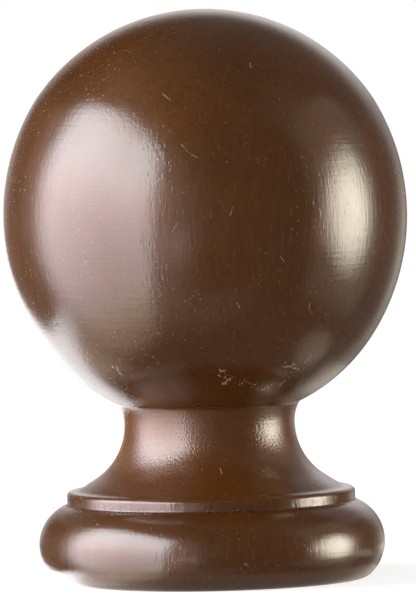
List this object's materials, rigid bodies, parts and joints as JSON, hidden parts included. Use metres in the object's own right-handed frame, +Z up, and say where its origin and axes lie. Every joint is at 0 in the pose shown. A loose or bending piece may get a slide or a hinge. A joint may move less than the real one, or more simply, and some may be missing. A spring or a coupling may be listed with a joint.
{
  "type": "ball finial",
  "caption": "Turned hardwood ball finial: a ball on a hollowed neck over a thin fillet and a half-round bead, with a flat foot and a blind fixing hole beneath.",
  "frame": {"origin": "centre of the flat foot, on the turning axis", "axes": "+Z up the turning axis, from the foot to the crown of the ball; X and Y lie in the foot"},
  "size_m": [0.06, 0.06, 0.0849],
  "materials": {
    "stained_wood": "satin lacquer over dark brown stain"
  },
  "bodies": {
    "root": {"finial": "stained_wood"}
  },
  "joints": []
}
